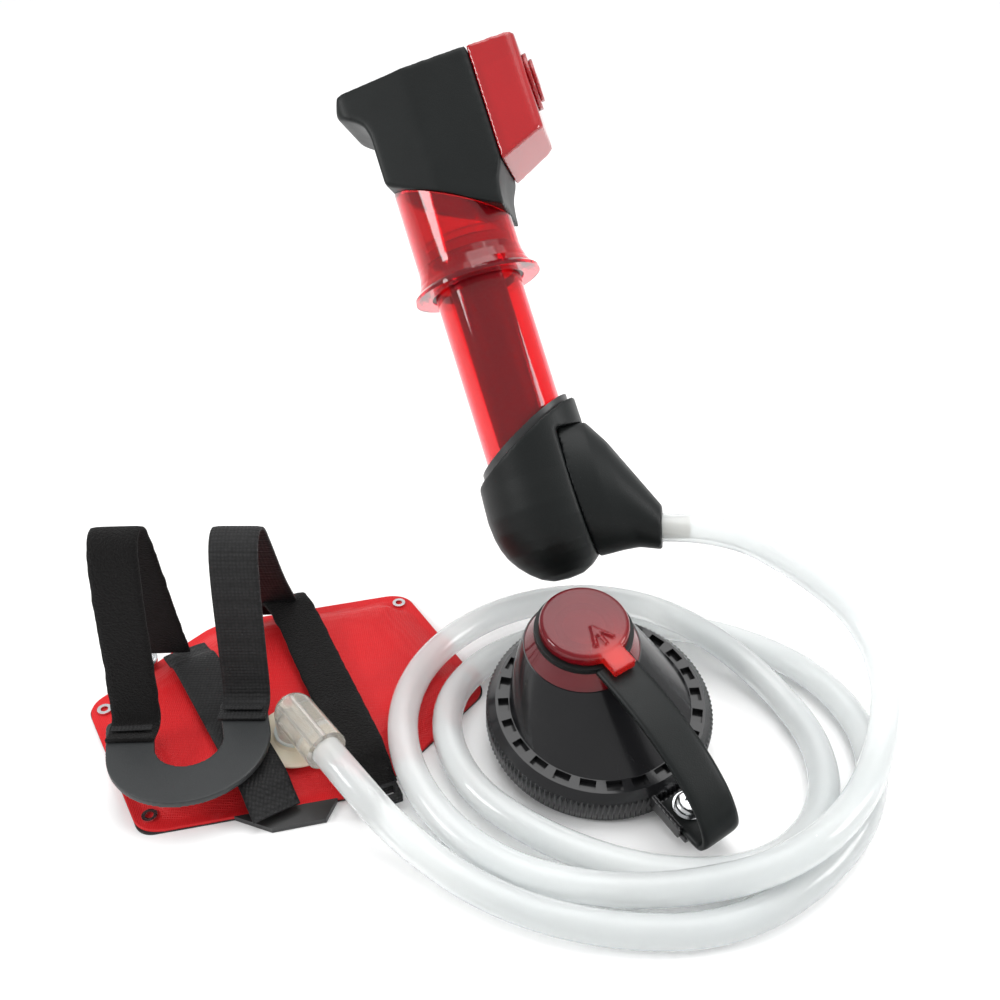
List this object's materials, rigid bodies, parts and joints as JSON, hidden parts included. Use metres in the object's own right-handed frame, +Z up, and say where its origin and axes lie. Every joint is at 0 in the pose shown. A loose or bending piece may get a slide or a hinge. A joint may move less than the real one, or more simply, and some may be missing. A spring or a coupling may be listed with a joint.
{
  "type": "pump water filter",
  "caption": "Hand pump water filter with a sliding handle, coiled clear hose, threaded bottle adapter with a tethered flip lid, and a strapped red pre-filter pad.",
  "frame": {"origin": "on the floor, below the middle of the kit's footprint without its hose", "axes": "+Z up, +X toward the bottle adapter's side, -Y toward the hose coil's open front"},
  "size_m": [0.2603, 0.2366, 0.1864],
  "materials": {
    "soft_black": "matte",
    "gloss_black": "gloss",
    "hard_black": "satin",
    "clear_red": "gloss",
    "white_fibre": "matte",
    "silicone": "satin",
    "milky_hose": "satin",
    "clear_plastic": "gloss",
    "red_fabric": "coated weave",
    "black_fabric": "weave",
    "foam": "matte",
    "webbing": "woven",
    "steel": "polished"
  },
  "bodies": {
    "kit": {"inner_tube": "clear_red", "piston_seal": "silicone", "cartridge_shell": "hard_black", "fibre_bundle": "white_fibre", "cartridge_foot": "hard_black", "cartridge_head": "hard_black", "housing": "soft_black", "boot": "soft_black", "hose_barb": "clear_plastic", "collar_band": "hard_black", "valve_seat": "hard_black", "hose": "milky_hose", "pad_back": "black_fabric", "foam_core": "foam", "pad_face": "red_fabric", "hem": "red_fabric", "eyelets": "steel", "mesh_disc": "clear_plastic", "flange": "clear_plastic", "elbow": "clear_plastic", "elbow_seal": "silicone", "strap_left": "webbing", "strap_right": "webbing", "strap_tab": "hard_black", "strap_keeper": "webbing", "u_plate": "hard_black", "loop_left": "webbing", "loop_right": "webbing", "bar_tacks": "webbing", "strap_ring": "steel"},
    "handle": {"grip": "soft_black", "head_core": "hard_black", "end_cap": "clear_red", "outlet_boss": "clear_red", "outlet_plug": "clear_red", "sleeve": "clear_red", "guide_ring": "hard_black"},
    "inlet_flap": {"inlet_valve": "silicone"},
    "outlet_flap": {"outlet_valve": "silicone"},
    "adapter": {"thread_ring": "gloss_black", "gasket": "silicone", "cone": "gloss_black", "spout_neck": "clear_red", "spout_lip": "clear_red", "tether_foot": "soft_black", "lug": "gloss_black", "washer": "steel", "screw": "steel"},
    "lid": {"lid": "clear_red", "lid_plug": "silicone", "tether_collar": "soft_black", "tether_arm": "soft_black"}
  },
  "joints": [
    {"name": "pump_stroke", "type": "slide", "parent": "kit", "child": "handle", "axis": [-0.2966, 0.5839, 0.7557], "range_m": [-0.043, 0]},
    {"name": "inlet_lift", "type": "slide", "parent": "kit", "child": "inlet_flap", "axis": [-0.2966, 0.5839, 0.7557], "range_m": [0, 0.0015]},
    {"name": "outlet_lift", "type": "slide", "parent": "handle", "child": "outlet_flap", "axis": [-0.2966, 0.5839, 0.7557], "range_m": [0, 0.0015]},
    {"name": "adapter_lift", "type": "slide", "parent": "kit", "child": "adapter", "axis": [0, 0, 1], "range_m": [0, 0.06]},
    {"name": "lid_hinge", "type": "hinge", "parent": "adapter", "child": "lid", "pos_m": [0.09501, -0.1, 0.00948], "axis": [0.8247, 0.5562, 0.1026], "range_deg": [0, 70]}
  ]
}
